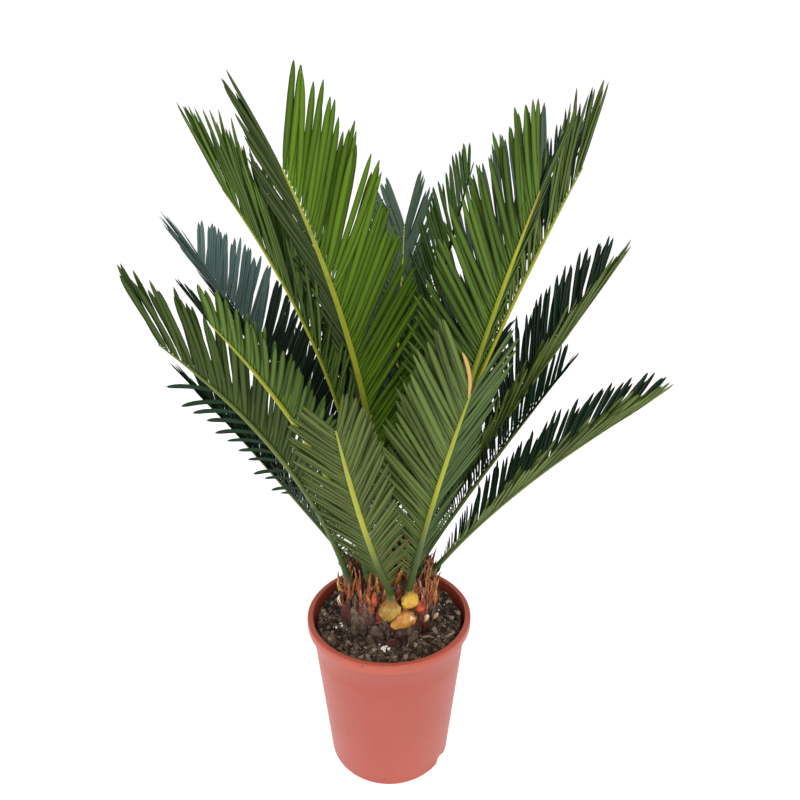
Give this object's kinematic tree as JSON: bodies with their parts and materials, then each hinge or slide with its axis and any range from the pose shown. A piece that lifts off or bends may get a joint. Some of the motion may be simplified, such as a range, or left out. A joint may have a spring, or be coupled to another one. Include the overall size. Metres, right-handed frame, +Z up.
{
  "type": "potted sago palm",
  "caption": "Young sago palm with a short scaly trunk and a crown of stiff feather fronds, standing in a tapered plastic nursery pot of potting mix.",
  "frame": {"origin": "centre of the flat underside of the pot", "axes": "+Z up; -Y is the front of the plant, the side that the two short front fronds grow on; +X to the right as seen from the front"},
  "size_m": [0.5489, 0.4908, 0.7552],
  "materials": {
    "pot": "satin moulded plastic",
    "potting_mix": "crumbly, matte",
    "caudex": "rough scales and fibre",
    "frond": "leathery, slightly glossy"
  },
  "bodies": {
    "root": {"pot": "pot", "potting_mix": "potting_mix", "caudex": "caudex", "frond_front_left": "frond", "frond_front_right": "frond", "frond_right_tall": "frond", "frond_right_outer": "frond", "frond_right_middle": "frond", "frond_right_thin": "frond", "frond_right_low": "frond", "frond_left_low": "frond", "frond_left_middle": "frond", "frond_left_back": "frond", "frond_left_outer": "frond", "frond_left_tall": "frond", "frond_back_tall": "frond", "frond_right_upright": "frond", "frond_right_back": "frond", "frond_left_lowest": "frond", "frond_back_low_right": "frond", "frond_back_low": "frond", "frond_back_low_left": "frond"}
  },
  "joints": []
}
